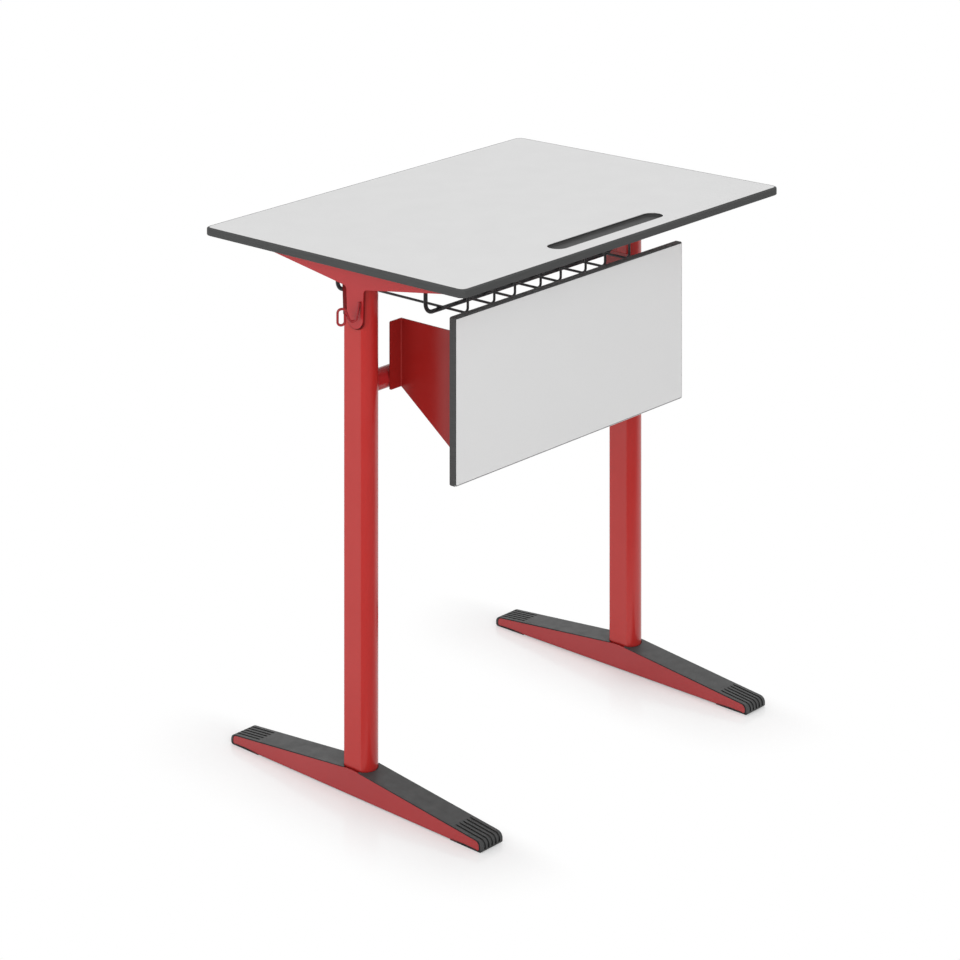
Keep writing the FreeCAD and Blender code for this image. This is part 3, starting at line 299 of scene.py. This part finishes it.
def shade_coat():
    """Dark matt red of painted shade, for the sheet behind a support's tongue and the bead along its front
    edge.
    """
    surface = Surface("red_coat_in_folds")
    colour = surface.patches(RED_IN_SHADE, RED_IN_DEEP_SHADE, scale=60.0)
    surface.grain(PEEL_SCALE, **PEEL)
    return surface.finish(colour, surface.roughness(0.50, 0.60, scale=24.0), specular=0.15)


def wire_coat():
    """The coat on the bent hooks: a darker, shaded copy of the red, with painted shade deeper towards the
    steel behind them.
    """
    surface = Surface("shaded_red_coat_on_wire")
    body = surface.patches(SHADED_WIRE_RED, SHADED_WIRE_WARM_RED, scale=90.0)
    colour = surface.mix(surface.occlusion(reach=0.004), body, RED_IN_SHADE)
    surface.grain(WIRE_PEEL_SCALE, **PEEL)
    return surface.finish(colour, surface.roughness(0.22, 0.30, scale=30.0), specular=0.4)


def weld_metal():
    """Red paint over a rippled weld, with painted shade in its joints."""
    surface = Surface("painted_weld")
    body = surface.patches(RED, WARM_RED, scale=300.0)
    colour = surface.mix(surface.occlusion(reach=0.003), body, RED_IN_DEEP_SHADE)
    surface.grain(scale=900.0, depth=0.00015, strength=0.6)
    return surface.finish(colour, surface.roughness(0.22, 0.34, scale=90.0))


def drive_shade_finish():
    """Near-black metal that paints the shade inside a screw's six-lobed recess."""
    surface = Surface("painted_shade_in_drives")
    colour = surface.patches(DRIVE_SHADE, DRIVE_SHADE_PALE, scale=900.0)
    return surface.finish(colour, surface.roughness(0.45, 0.6, scale=400.0), metallic=1.0)


def laminate(name, milled_rim=None):
    """Pale grey decor under a fine matt overlay, milled through to the core along a rim."""
    surface = Surface(name)
    speck = surface.patches(LAMINATE, LAMINATE_SPECK, scale=2600.0, low=0.42, high=0.68, detail=2.0)
    handled = surface.patches(LAMINATE_SPECK, LAMINATE, scale=30.0)
    marks = surface.spread(surface.noise(scale=9.0, detail=5.0), low=0.45, high=0.75, to_high=0.35)
    colour = surface.mix(marks, speck, handled)
    if milled_rim:
        milled = surface.patches(CORE, CORE_LAYER, scale=90.0)
        colour = surface.mix(surface.rim(**milled_rim), colour, milled)
    surface.grain(scale=1500.0, depth=0.00003, strength=0.5, detail=3.0)
    return surface.finish(colour, surface.roughness(0.40, 0.54, scale=22.0, detail=4.0), specular=0.4)


def laminate_core(name, pale_front=False):
    """The dark core: thin pressed layers that show as streaks along a milled edge."""
    surface = Surface(name)
    layers = surface.noise(scale=40.0, detail=2.0, stretch=(0.6, 0.6, 60.0))
    body = surface.mix(surface.spread(layers, low=0.35, high=0.70), CORE, CORE_LAYER)
    worn = surface.patches(CORE_LAYER, CORE, scale=90.0)
    edged = surface.mix(surface.edges(radius=0.0006), body, worn)
    # Painted shade: darker in hollows such as the tray, by ambient occlusion
    hollow_shade = surface.occlusion(reach=0.02, open_share=0.98, shut_share=0.65)
    colour = surface.mix(hollow_shade, edged, CORE_IN_SHADE)
    if pale_front:
        # The rounding whose normal faces forwards and down is coloured pale like the decor
        facing = surface.axes(surface.add("ShaderNodeNewGeometry").outputs["Normal"])
        forwards = surface.spread(facing["Y"], low=-0.30, high=-0.60)
        down = surface.spread(facing["Z"], low=-0.10, high=-0.30)
        decor = surface.patches(LAMINATE_SPECK, LAMINATE, scale=30.0)
        colour = surface.mix(surface.calculate("MULTIPLY", forwards, down), colour, decor)
    milled = surface.noise(scale=60.0, stretch=(1.0, 1.0, 30.0))
    surface.bump(milled, depth=0.00004, strength=0.3)
    roughness = surface.spread(milled, surface.NOISE_LOW, surface.NOISE_HIGH, to_low=0.55, to_high=0.68)
    return surface.finish(colour, roughness, specular=0.25)


def moulded_plastic():
    """Spark-eroded dark plastic, with painted shade: black in the grooves and next to the floor."""
    surface = Surface("moulded_plastic")
    body = surface.patches(MOULDED, MOULDED_DUSTY, scale=55.0, low=0.45, high=0.75, detail=5.0)
    shade_near_floor = surface.spread(surface.axes(surface.place)["Z"], low=0.0045, high=0.0015)
    darkened_low = surface.mix(shade_near_floor, body, BLACK)
    colour = surface.mix(surface.occlusion(reach=0.0045, samples=8), darkened_low, BLACK)
    surface.grain(scale=1800.0, depth=0.00004, strength=0.35)
    return surface.finish(colour, surface.roughness(0.46, 0.58, scale=70.0), specular=0.35)


def shadow_line_finish():
    """Black for the painted shadow line between steel and plastic."""
    surface = Surface("painted_shadow_line")
    colour = surface.patches(BLACK, COATED, scale=300.0)
    surface.grain(scale=900.0, depth=0.00004, strength=0.4)
    return surface.finish(colour, surface.roughness(0.55, 0.7, scale=80.0), specular=0.2)


def coated_wire():
    """Black satin coating, slightly rubbed in use."""
    surface = Surface("black_wire_coating")
    rubbed = surface.spread(surface.noise(scale=70.0, detail=4.0), low=0.5, high=0.8)
    colour = surface.mix(rubbed, COATED, COATED_WORN)
    surface.grain(scale=1200.0, depth=0.00003, strength=0.4)
    roughness = surface.spread(rubbed, 0.0, 1.0, to_low=0.42, to_high=0.30)
    return surface.finish(colour, roughness, specular=0.4)


def zinc():
    """Bright zinc plating that has dulled in patches."""
    surface = Surface("zinc_plating")
    dull = surface.spread(surface.noise(scale=220.0, detail=4.0), low=0.4, high=0.7)
    colour = surface.mix(dull, ZINC, ZINC_DULL)
    surface.grain(scale=1500.0, depth=0.00002, strength=0.4)
    roughness = surface.spread(dull, 0.0, 1.0, to_low=0.25, to_high=0.45)
    return surface.finish(colour, roughness, metallic=1.0)


def make_finishes():
    """The materials by slot of the record, by kind of node, and for the pieces added here."""
    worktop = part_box("worktop_core")[1]
    milled_rim = {"half_width": worktop.x, "half_depth": worktop.y, "corner": 0.012, "band": 0.0038}
    return {
        "red_paint": powder_coat("red_powder_coat"),
        "grey_decor": laminate("grey_laminate"),
        "dark_core": laminate_core("dark_core"),
        "cap_plastic": moulded_plastic(),
        "wire_coating": coated_wire(),
        "plated_steel": zinc(),
        # Columns and supports get lit, lighter copies of the red: painted light
        "column": powder_coat("red_coat_on_columns", LIT_COLUMN_RED, LIT_COLUMN_WARM_RED),
        "top_support": powder_coat("red_coat_on_supports", LIT_SUPPORT_RED, LIT_SUPPORT_WARM_RED),
        # The feet get a darker, shaded copy of the red: painted shade
        "foot": powder_coat("red_coat_on_feet", SHADED_FOOT_RED, SHADED_FOOT_WARM_RED),
        # Brackets: a shaded copy of the red, with a painted highlight where the occlusion mask finds folds
        # and joints
        "panel_bracket": powder_coat("red_coat_on_brackets", SHADED_RED, SHADED_WARM_RED,
                                     painted_light_in_joints=RED_HIGHLIGHT, reach=0.003),
        "bag_hook": wire_coat(),
        "top_decor": laminate("worktop_laminate", milled_rim),
        "bottom_decor": laminate("worktop_backing_laminate", milled_rim),
        "panel_core": laminate_core("panel_core", pale_front=True),
        "fold": shade_coat(),
        "weld": weld_metal(),
        "drive": drive_shade_finish(),
        "shadow_line": shadow_line_finish(),
    }


def dress_frame(finishes):
    """Give every fixed node the finish of its kind, or else that of its slot in the record."""
    for part in frame["record"]["subparts"]:
        kind = part["node"].split("_", 1)[-1]
        materials = frame["nodes"][part["node"]].data.materials
        materials.clear()
        materials.append(finishes.get(kind, finishes[part["material_slot"]]))


# Small pieces in mesh code, in millimetres


RING_POINTS = 10
BEAD_STEP = 1.3
RIPPLE_TURN, RIPPLE_CHANCE, END_SHARE = 2.1, 0.5, 0.45
CORNER_STEPS, CURVE_STEPS = 10, 8
BULGE_STEPS, FLAT_STEPS = 22, 20


def new_piece(name, work, finish):
    """A smooth piece of the mesh in work, which rides with the desk."""
    bmesh.ops.recalc_face_normals(work, faces=work.faces)
    mesh = bpy.data.meshes.new(name)
    work.to_mesh(mesh)
    work.free()
    mesh.materials.append(finish)
    for face in mesh.polygons:
        face.use_smooth = True
    piece = bpy.data.objects.new(name, mesh)
    bpy.context.scene.collection.objects.link(piece)
    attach(piece, "root")


def sweep(work, path, radius, normal, closed=False, ripple=0.0, seed=1):
    """A rippled round bead along points that lie in a plane with this normal."""
    chance = random.Random(seed)
    points = [Vector(point) * MM for point in path]
    count, rings = len(points), []
    turns = [2 * math.pi * k / RING_POINTS for k in range(RING_POINTS)]
    for i, point in enumerate(points):
        before = points[i - 1] if closed or i else point
        after = points[(i + 1) % count] if closed or i < count - 1 else point
        over = (after - before).normalized().cross(normal)
        wave = math.sin(RIPPLE_TURN * i) + chance.uniform(-RIPPLE_CHANCE, RIPPLE_CHANCE)
        thick = radius * MM * (1 + ripple * wave)
        if not closed and i in (0, count - 1):
            thick *= END_SHARE
        rings.append([work.verts.new(point + (normal * math.cos(turn) + over * math.sin(turn)) * thick)
                      for turn in turns])
    for i in range(count if closed else count - 1):
        first, second = rings[i], rings[(i + 1) % count]
        for k in range(RING_POINTS):
            work.faces.new((first[k - 1], first[k], second[k], second[k - 1]))
    if not closed:
        work.faces.new(rings[0])
        work.faces.new(reversed(rings[-1]))


def line(first, last, step=BEAD_STEP):
    """Points from first to last, about a step apart."""
    first, last = Vector(first), Vector(last)
    count = max(3, round((last - first).length / step))
    return [first.lerp(last, i / count) for i in range(count + 1)]


def ring(centre, radius, first, second, count=72):
    """Points on a circle that starts towards first and turns towards second."""
    turns = [2 * math.pi * i / count for i in range(count)]
    return [Vector(centre) + (first * math.cos(turn) + second * math.sin(turn)) * radius
            for turn in turns]


def smooth_path(points):
    """Points on a smooth curve through the given points."""
    ends = [2 * points[0] - points[1]] + points + [2 * points[-1] - points[-2]]
    curve = []
    for a, b, c, d in zip(ends, ends[1:], ends[2:], ends[3:]):
        for i in range(CURVE_STEPS):
            t = i / CURVE_STEPS
            curve.append(0.5 * (2 * b + (c - a) * t + (2 * a - 5 * b + 4 * c - d) * t ** 2
                                + (3 * b - a - 3 * c + d) * t ** 3))
    return curve + [points[-1]]


def rounded(corners):
    """Points along straight lines whose corners (a, b, radius) are rounded, in a plane."""
    points = [Vector(corners[0][:2])]
    for before, corner, after in zip(corners, corners[1:], corners[2:]):
        here, radius = Vector(corner[:2]), corner[2]
        back, on = (Vector(before[:2]) - here).normalized(), (Vector(after[:2]) - here).normalized()
        half = back.angle(on) / 2
        centre = here + (back + on).normalized() * radius / math.sin(half)
        first = here + back * radius / math.tan(half) - centre
        last = here + on * radius / math.tan(half) - centre
        points += [centre + first.lerp(last, i / CORNER_STEPS).normalized() * radius
                   for i in range(CORNER_STEPS + 1)]
    return points + [Vector(corners[-1][:2])]


def evenly(centre, spread, count):
    """Places in even steps from one end of a spread to the other."""
    return [centre + spread * (i / (count - 1) - 0.5) for i in range(count)]


def beam_weld(word, side, finish):
    """Round the end of the cross beam, on the column's inner flat."""
    bead, offset = 1.4, 0.6
    work = bmesh.new()
    centre = (side * (COLUMN_X - COLUMN_HALF - offset), COLUMN_Y, BEAM_Z)
    path = ring(centre, BEAM_RADIUS + offset, BACK, UP)
    sweep(work, path, bead, ACROSS, closed=True, ripple=0.10, seed=3)
    new_piece(word + "_beam_weld", work, finish)


def bracket_weld(word, side, finish):
    """Two lines where the bracket's lap touches the cross beam."""
    bead, rise, flange_width, margin = 1.4, 5.2, 24.5, 2
    low, high = box("right_panel_bracket")
    lap_start, lap_end = low.x + flange_width, high.x - margin
    work = bmesh.new()
    for lift in (-rise, rise):
        deep = COLUMN_Y - math.sqrt(BEAM_RADIUS ** 2 - lift ** 2)
        path = line((side * lap_start, deep, BEAM_Z + lift), (side * lap_end, deep, BEAM_Z + lift))
        sweep(work, path, bead, UP, ripple=0.12, seed=5)
    new_piece(word + "_bracket_weld", work, finish)


def column_outline(side, height):
    """Points round the column from its outer flat's front, over the inner flat, to the rear."""
    bulge = (COLUMN_DEPTH - COLUMN_FLAT) / 2
    radius = (bulge ** 2 + COLUMN_HALF ** 2) / (2 * bulge)
    reach = math.asin(COLUMN_HALF / radius)
    shift = COLUMN_DEPTH / 2 - radius
    turns = evenly(0, -2 * reach, BULGE_STEPS + 1)
    front = [(radius * math.sin(turn), -shift - radius * math.cos(turn)) for turn in turns]
    rear = [(-across, -deep) for across, deep in front]
    inner = [(-COLUMN_HALF, deep) for deep in evenly(0, COLUMN_FLAT, FLAT_STEPS + 1)[1:-1]]
    outline = front + inner + rear
    return [(side * (COLUMN_X + across), COLUMN_Y + deep, height) for across, deep in outline]


def support_weld(word, side, finish):
    """Round the column's top, under the support's flange."""
    bead, drop = 1.2, 0.5
    work = bmesh.new()
    sweep(work, column_outline(side, COLUMN_TOP - drop), bead, UP, ripple=0.10, seed=7)
    new_piece(word + "_support_weld", work, finish)


def hook_point(side, out, rise):
    """A point in the plane of a bag hook, measured outwards from its start and up from its bowl."""
    across, deep = HOOK_X + out * math.cos(HOOK_TURN), HOOK_Y + out * math.sin(HOOK_TURN)
    return (side * across, deep, HOOK_BOWL_Z + rise)


def hook_weld(word, side, finish):
    """Beside the hook's straight start on the support, and where its eye closes."""
    bead, offset, towards_face = 0.8, 1.9, 1.5
    low, high = 14, 24.6
    eye_bead, eye_step = 1.3, 0.8
    eye_low, eye_high = (19.0, 9.6), (20.0, 14.4)
    work = bmesh.new()
    across = side * (HOOK_X - towards_face)
    for shift in (-offset, offset):
        deep = HOOK_Y + shift
        path = line((across, deep, HOOK_BOWL_Z + high), (across, deep, HOOK_BOWL_Z + low))
        sweep(work, path, bead, ACROSS, ripple=0.12, seed=9)
    path = line(hook_point(side, *eye_low), hook_point(side, *eye_high), eye_step)
    sweep(work, path, eye_bead, ACROSS, ripple=0.08, seed=11)
    new_piece(word + "_hook_weld", work, finish)


def crossing_welds(finish):
    """On both sides of each hairpin where it crosses a basket frame."""
    bead, offset, reach, step = 0.9, 1.7, 2.2, 0.9
    work = bmesh.new()
    for centre in HAIRPIN_XS:
        for wire in (centre - HAIRPIN_HALF, centre + HAIRPIN_HALF):
            for deep in FRAME_YS:
                for across in (wire - offset, wire + offset):
                    path = line((across, deep - reach, FRAME_TOP), (across, deep + reach, FRAME_TOP), step)
                    sweep(work, path, bead, UP, ripple=0.10, seed=13)
    new_piece("basket_crossing_welds", work, finish)


def tab_welds(finish):
    """Round the basket frames' ends, under the tabs."""
    bead, offset, drop, count = 0.8, 0.4, 0.7, 30
    work = bmesh.new()
    for side in SIDES.values():
        for deep in FRAME_YS:
            centre = (side * FRAME_X, deep, TAB_BOTTOM - drop)
            path = ring(centre, FRAME_RADIUS + offset, ACROSS, BACK, count)
            sweep(work, path, bead, UP, closed=True, ripple=0.10, seed=17)
    new_piece("basket_tab_welds", work, finish)


def fold_coat(word, side, finish):
    """A thin dark sheet of painted shade on the column, behind a support's tongue."""
    depths, edge_radius = (2.7, 1.15), 0.12
    corners = ((16.7, 56.9), (25.3, 58.5), (23.6, 16.0), (15.2, 12.5))
    work = bmesh.new()
    sheets = []
    for depth in depths:
        across = side * (SUPPORT_FACE - depth)
        sheets.append([work.verts.new(Vector((across, TONGUE_Y + deep, TONGUE_BOTTOM + rise)) * MM)
                       for deep, rise in corners])
    work.faces.new(sheets[0])
    work.faces.new(reversed(sheets[1]))
    for i in range(len(corners)):
        work.faces.new((sheets[0][i - 1], sheets[1][i - 1], sheets[1][i], sheets[0][i]))
    bmesh.ops.bevel(work, geom=list(work.edges), offset=edge_radius * MM, segments=2, affect="EDGES")
    new_piece(word + "_fold_coat", work, finish)


def tongue_weld_and_shade(word, side, finish):
    """A weld bead down the tongue's front edge and round its end, in the dark red of painted shade, so it
    also paints the shadow along that edge.
    """
    bead, depth = 1.0, 2.3
    edge = ((-17.1, 58), (-15.2, 16), (-14.6, 7), (-8.2, 0.9), (0, -0.7), (8.2, 0.9), (14.6, 7))
    work = bmesh.new()
    across = side * (SUPPORT_FACE - depth)
    path = [Vector((across, TONGUE_Y + deep, TONGUE_BOTTOM + rise)) for deep, rise in edge]
    sweep(work, smooth_path(path), bead, ACROSS, ripple=0.06, seed=19)
    new_piece(word + "_tongue_weld_and_shade", work, finish)


def cap_shadow_lines(word, side, finish):
    """A thin black bead of painted shadow along the joint between a foot's steel sides, its caps and their
    pads.
    """
    bead, offset, rise, gap = 0.85, 21.2, 0.2, 1.2
    start, nose, pad_length = 14.5, 4, 56
    tip_radius, heel_radius = 7, 3.5
    pad_rise, pad_ends = 2.4, (9, 30, 54)
    slope = (FOOT_PEAK - FOOT_TIP) / FOOT_HALF
    tip = FOOT_HALF - nose
    outline = rounded([(start, FOOT_PEAK - slope * start + rise),
                       (tip, FOOT_PEAK - slope * tip + rise, tip_radius),
                       (tip, gap, heel_radius), (FOOT_HALF - pad_length, gap)])
    pad_edge = [(FOOT_HALF - end, pad_rise) for end in pad_ends]
    for end, way in (("front", -1), ("rear", 1)):
        work = bmesh.new()
        for across in (side * COLUMN_X - offset, side * COLUMN_X + offset):
            for path in (outline, pad_edge):
                sweep(work, [(across, COLUMN_Y + way * out, height) for out, height in path], bead, ACROSS)
        new_piece("%s_foot_%s_cap_seal" % (word, end), work, finish)


def lobed_disc(work, centre, across, upward):
    """A shallow dark six-lobed plate in a screw's drive, painting the shade of its recess."""
    radius, lobe, lobes, count = 1.9, 0.13, 6, 48
    levels = ((-0.10, 1.0), (0.03, 1.0), (0.06, 0.9))
    rims = []
    for lift, share in levels:
        rims.append([])
        for i in range(count):
            turn = 2 * math.pi * i / count
            reach = radius * share * (1 + lobe * math.cos(lobes * turn))
            side = across * math.cos(turn) + across.cross(upward) * math.sin(turn)
            rims[-1].append(work.verts.new((Vector(centre) + side * reach + upward * lift) * MM))
    for low, high in zip(rims, rims[1:]):
        for i in range(count):
            work.faces.new((low[i - 1], low[i], high[i], high[i - 1]))
    work.faces.new(rims[-1])
    work.faces.new(reversed(rims[0]))


def screw_drive_shades(finish):
    """Dark plates of painted shade in the recesses in the heads of the screws into the worktop, the tabs
    and the panel.
    """
    head_radius = 4.5
    worktop_spread, worktop_count = 370, 4
    panel_spread, panel_count = 130, 3
    worktop_low, worktop_high = box("worktop_screws")
    basket_low, basket_high = box("basket_screws")
    panel_high = box("panel_screws")[1]
    worktop_places = [(worktop_high.x - head_radius, deep, worktop_low.z)
                      for deep in evenly(middle("worktop_screws").y, worktop_spread, worktop_count)]
    basket_places = [(basket_high.x - head_radius, deep, basket_low.z) for deep in FRAME_YS]
    panel_places = [(panel_high.x - head_radius, panel_high.y, height)
                    for height in evenly(middle("panel_screws").z, panel_spread, panel_count)]
    for name, places, upward in (("worktop_screw_drive_shades", worktop_places, DOWN),
                                 ("basket_screw_drive_shades", basket_places, DOWN),
                                 ("panel_screw_drive_shades", panel_places, BACK)):
        work = bmesh.new()
        for side in SIDES.values():
            for across, deep, height in places:
                lobed_disc(work, (side * across, deep, height), ACROSS, upward)
        new_piece(name, work, finish)


def build_pieces(finishes):
    """Everything that the looks add to the fixed frame."""
    for word, side in SIDES.items():
        for weld in (beam_weld, bracket_weld, support_weld, hook_weld):
            weld(word, side, finishes["weld"])
    crossing_welds(finishes["wire_coating"])
    tab_welds(finishes["wire_coating"])
    for word, side in SIDES.items():
        fold_coat(word, side, finishes["fold"])
        tongue_weld_and_shade(word, side, finishes["fold"])
    for word, side in SIDES.items():
        cap_shadow_lines(word, side, finishes["shadow_line"])
    screw_drive_shades(finishes["drive"])


# Camera, lights and stage, in metres


def photo_camera():
    """The photograph keeps uprights upright and tilts the horizon, so its axes are sheared."""
    ahead = Vector((math.sin(CAMERA_YAW), math.cos(CAMERA_YAW), 0))
    right = Vector((math.cos(CAMERA_YAW), -math.sin(CAMERA_YAW), 0))
    centre = IMAGE_SIZE / 2
    across = right + UP * HORIZON_SLOPE
    axis = (ahead + right * ((centre - CENTRE_COLUMN) / (FOCAL_PIXELS * across.length))
            + UP * ((HORIZON_ROW - centre) / FOCAL_PIXELS))
    view = Matrix.Identity(4)
    for column, direction in enumerate((across.normalized(), UP, -axis.normalized())):
        for row in range(3):
            view[row][column] = direction[row]
    view.translation = CAMERA_PLACE

    stand = bpy.data.objects.new("camera_stand", None)
    camera = bpy.data.objects.new("camera", bpy.data.cameras.new("camera"))
    for thing in (stand, camera):
        bpy.context.scene.collection.objects.link(thing)
    camera.data.sensor_width = SENSOR_WIDTH
    camera.data.lens = SENSOR_WIDTH * FOCAL_PIXELS * axis.length / IMAGE_SIZE
    camera.data.clip_end = CLIP_END
    camera.parent = stand
    camera.matrix_parent_inverse = view
    bpy.context.scene.camera = camera


def make_world(fill):
    """White to the eye, with a plain fill of this strength on everything else."""
    world = bpy.data.worlds.new("studio")
    world.use_nodes = True
    bpy.context.scene.world = world
    nodes = Nodes(world.node_tree)
    strength = nodes.add("ShaderNodeMix", {"Factor": nodes.white_to_the_eye(), "A": fill, "B": 1.0})
    nodes.fill(nodes.tree.nodes["Background"], {"Color": WHITE, "Strength": strength.outputs["Result"]})


def area_light(name, place, aim, size, power, mirrored=True):
    """A square soft light, which the desk's gloss mirrors or doesn't."""
    lamp = bpy.data.lights.new(name, "AREA")
    lamp.shape = "SQUARE"
    lamp.size = size
    lamp.energy = power
    thing = bpy.data.objects.new(name, lamp)
    thing.location = place
    thing.visible_glossy = mirrored
    thing.rotation_euler = (Vector(aim) - Vector(place)).to_track_quat("-Z", "Y").to_euler()
    bpy.context.scene.collection.objects.link(thing)


# The floor turns plain white over FADE_REACH, beside the lines of the feet and beyond their ends
FOOT_LINE = COLUMN_X * MM
FOOT_LINE_REACH = 0.21
FADE_REACH = 0.19
FADE_START_SHARE = 0.20
OUTWARD_SPEED = 3.0
# In the desk's own gloss it is dimmer towards the front left
DIM_SHARE, DIM_FROM, DIM_TO, DIM_SLANT = 0.25, -0.30, 0.10, 0.6


def floor_fade(surface, place):
    """How far the floor has turned plain white, by the distance to the lines of the feet."""
    calculate = surface.calculate
    nearest = calculate("MULTIPLY", calculate("SIGN", place["X"]), FOOT_LINE)
    across = calculate("SUBTRACT", place["X"], nearest)
    inward, outward = calculate("MULTIPLY", across, -1.0), calculate("MULTIPLY", across, OUTWARD_SPEED)
    past = calculate("SUBTRACT", calculate("ABSOLUTE", place["Y"]), FOOT_LINE_REACH)
    distance = surface.length(calculate("MAXIMUM", inward, outward), calculate("MAXIMUM", past, 0.0))
    return surface.spread(distance, 0.0, FADE_REACH, to_low=FADE_START_SHARE,
                          interpolation_type="SMOOTHSTEP")


def floor_glow(surface, place):
    """Plain white to the camera, and dimmer ahead of the desk to other rays."""
    calculate = surface.calculate
    slant = calculate("MULTIPLY", calculate("ADD", place["X"], FOOT_LINE), DIM_SLANT)
    ahead = surface.spread(calculate("ADD", place["Y"], slant), DIM_FROM, DIM_TO, to_low=DIM_SHARE)
    to_camera = surface.add("ShaderNodeLightPath").outputs["Is Camera Ray"]
    strength = calculate("MAXIMUM", to_camera, ahead)
    return surface.add("ShaderNodeEmission", {"Strength": strength}).outputs["Emission"]


def floor_finish():
    """White, clear from below, with the shadow kept near the feet and plain white further out."""
    surface = Surface("white_floor")
    surface.finish(FLOOR_WHITE, roughness=0.15, specular=0.35)
    place = surface.axes(surface.place)
    white = surface.calculate("MULTIPLY", surface.white_to_the_eye(), floor_fade(surface, place))
    below = surface.add("ShaderNodeNewGeometry").outputs["Backfacing"]
    clear = surface.add("ShaderNodeBsdfTransparent").outputs["BSDF"]
    shown = surface.shader.outputs["BSDF"]
    for factor, other in ((white, floor_glow(surface, place)), (below, clear)):
        shown = surface.add("ShaderNodeMixShader", {0: factor, 1: shown, 2: other}).outputs["Shader"]
    surface.fill(surface.tree.nodes["Material Output"], {"Surface": shown})
    return surface.material


def make_floor(size):
    """One wide square under the desk."""
    mesh = bpy.data.meshes.new("floor")
    quarters = ((-1, -1), (1, -1), (1, 1), (-1, 1))
    mesh.from_pydata([(across * size, deep * size, 0) for across, deep in quarters], [], [(0, 1, 2, 3)])
    mesh.materials.append(floor_finish())
    floor = bpy.data.objects.new("floor", mesh)
    bpy.context.scene.collection.objects.link(floor)


finishes = make_finishes()
dress_frame(finishes)
build_pieces(finishes)

photo_camera()
bpy.context.scene.view_settings.view_transform = "Standard"
make_world(fill=0.62)
area_light("front", place=(-2.2, -3.6, 2.3), aim=(0, 0, 0.5), size=3.0, power=81, mirrored=False)
area_light("side", place=(-4.2, 0.2, 1.7), aim=(0, 0, 0.4), size=2.6, power=46)
area_light("top", place=(1.2, 1.0, 3.6), aim=(0, 0, 0.4), size=1.6, power=24)
make_floor(size=30.0)
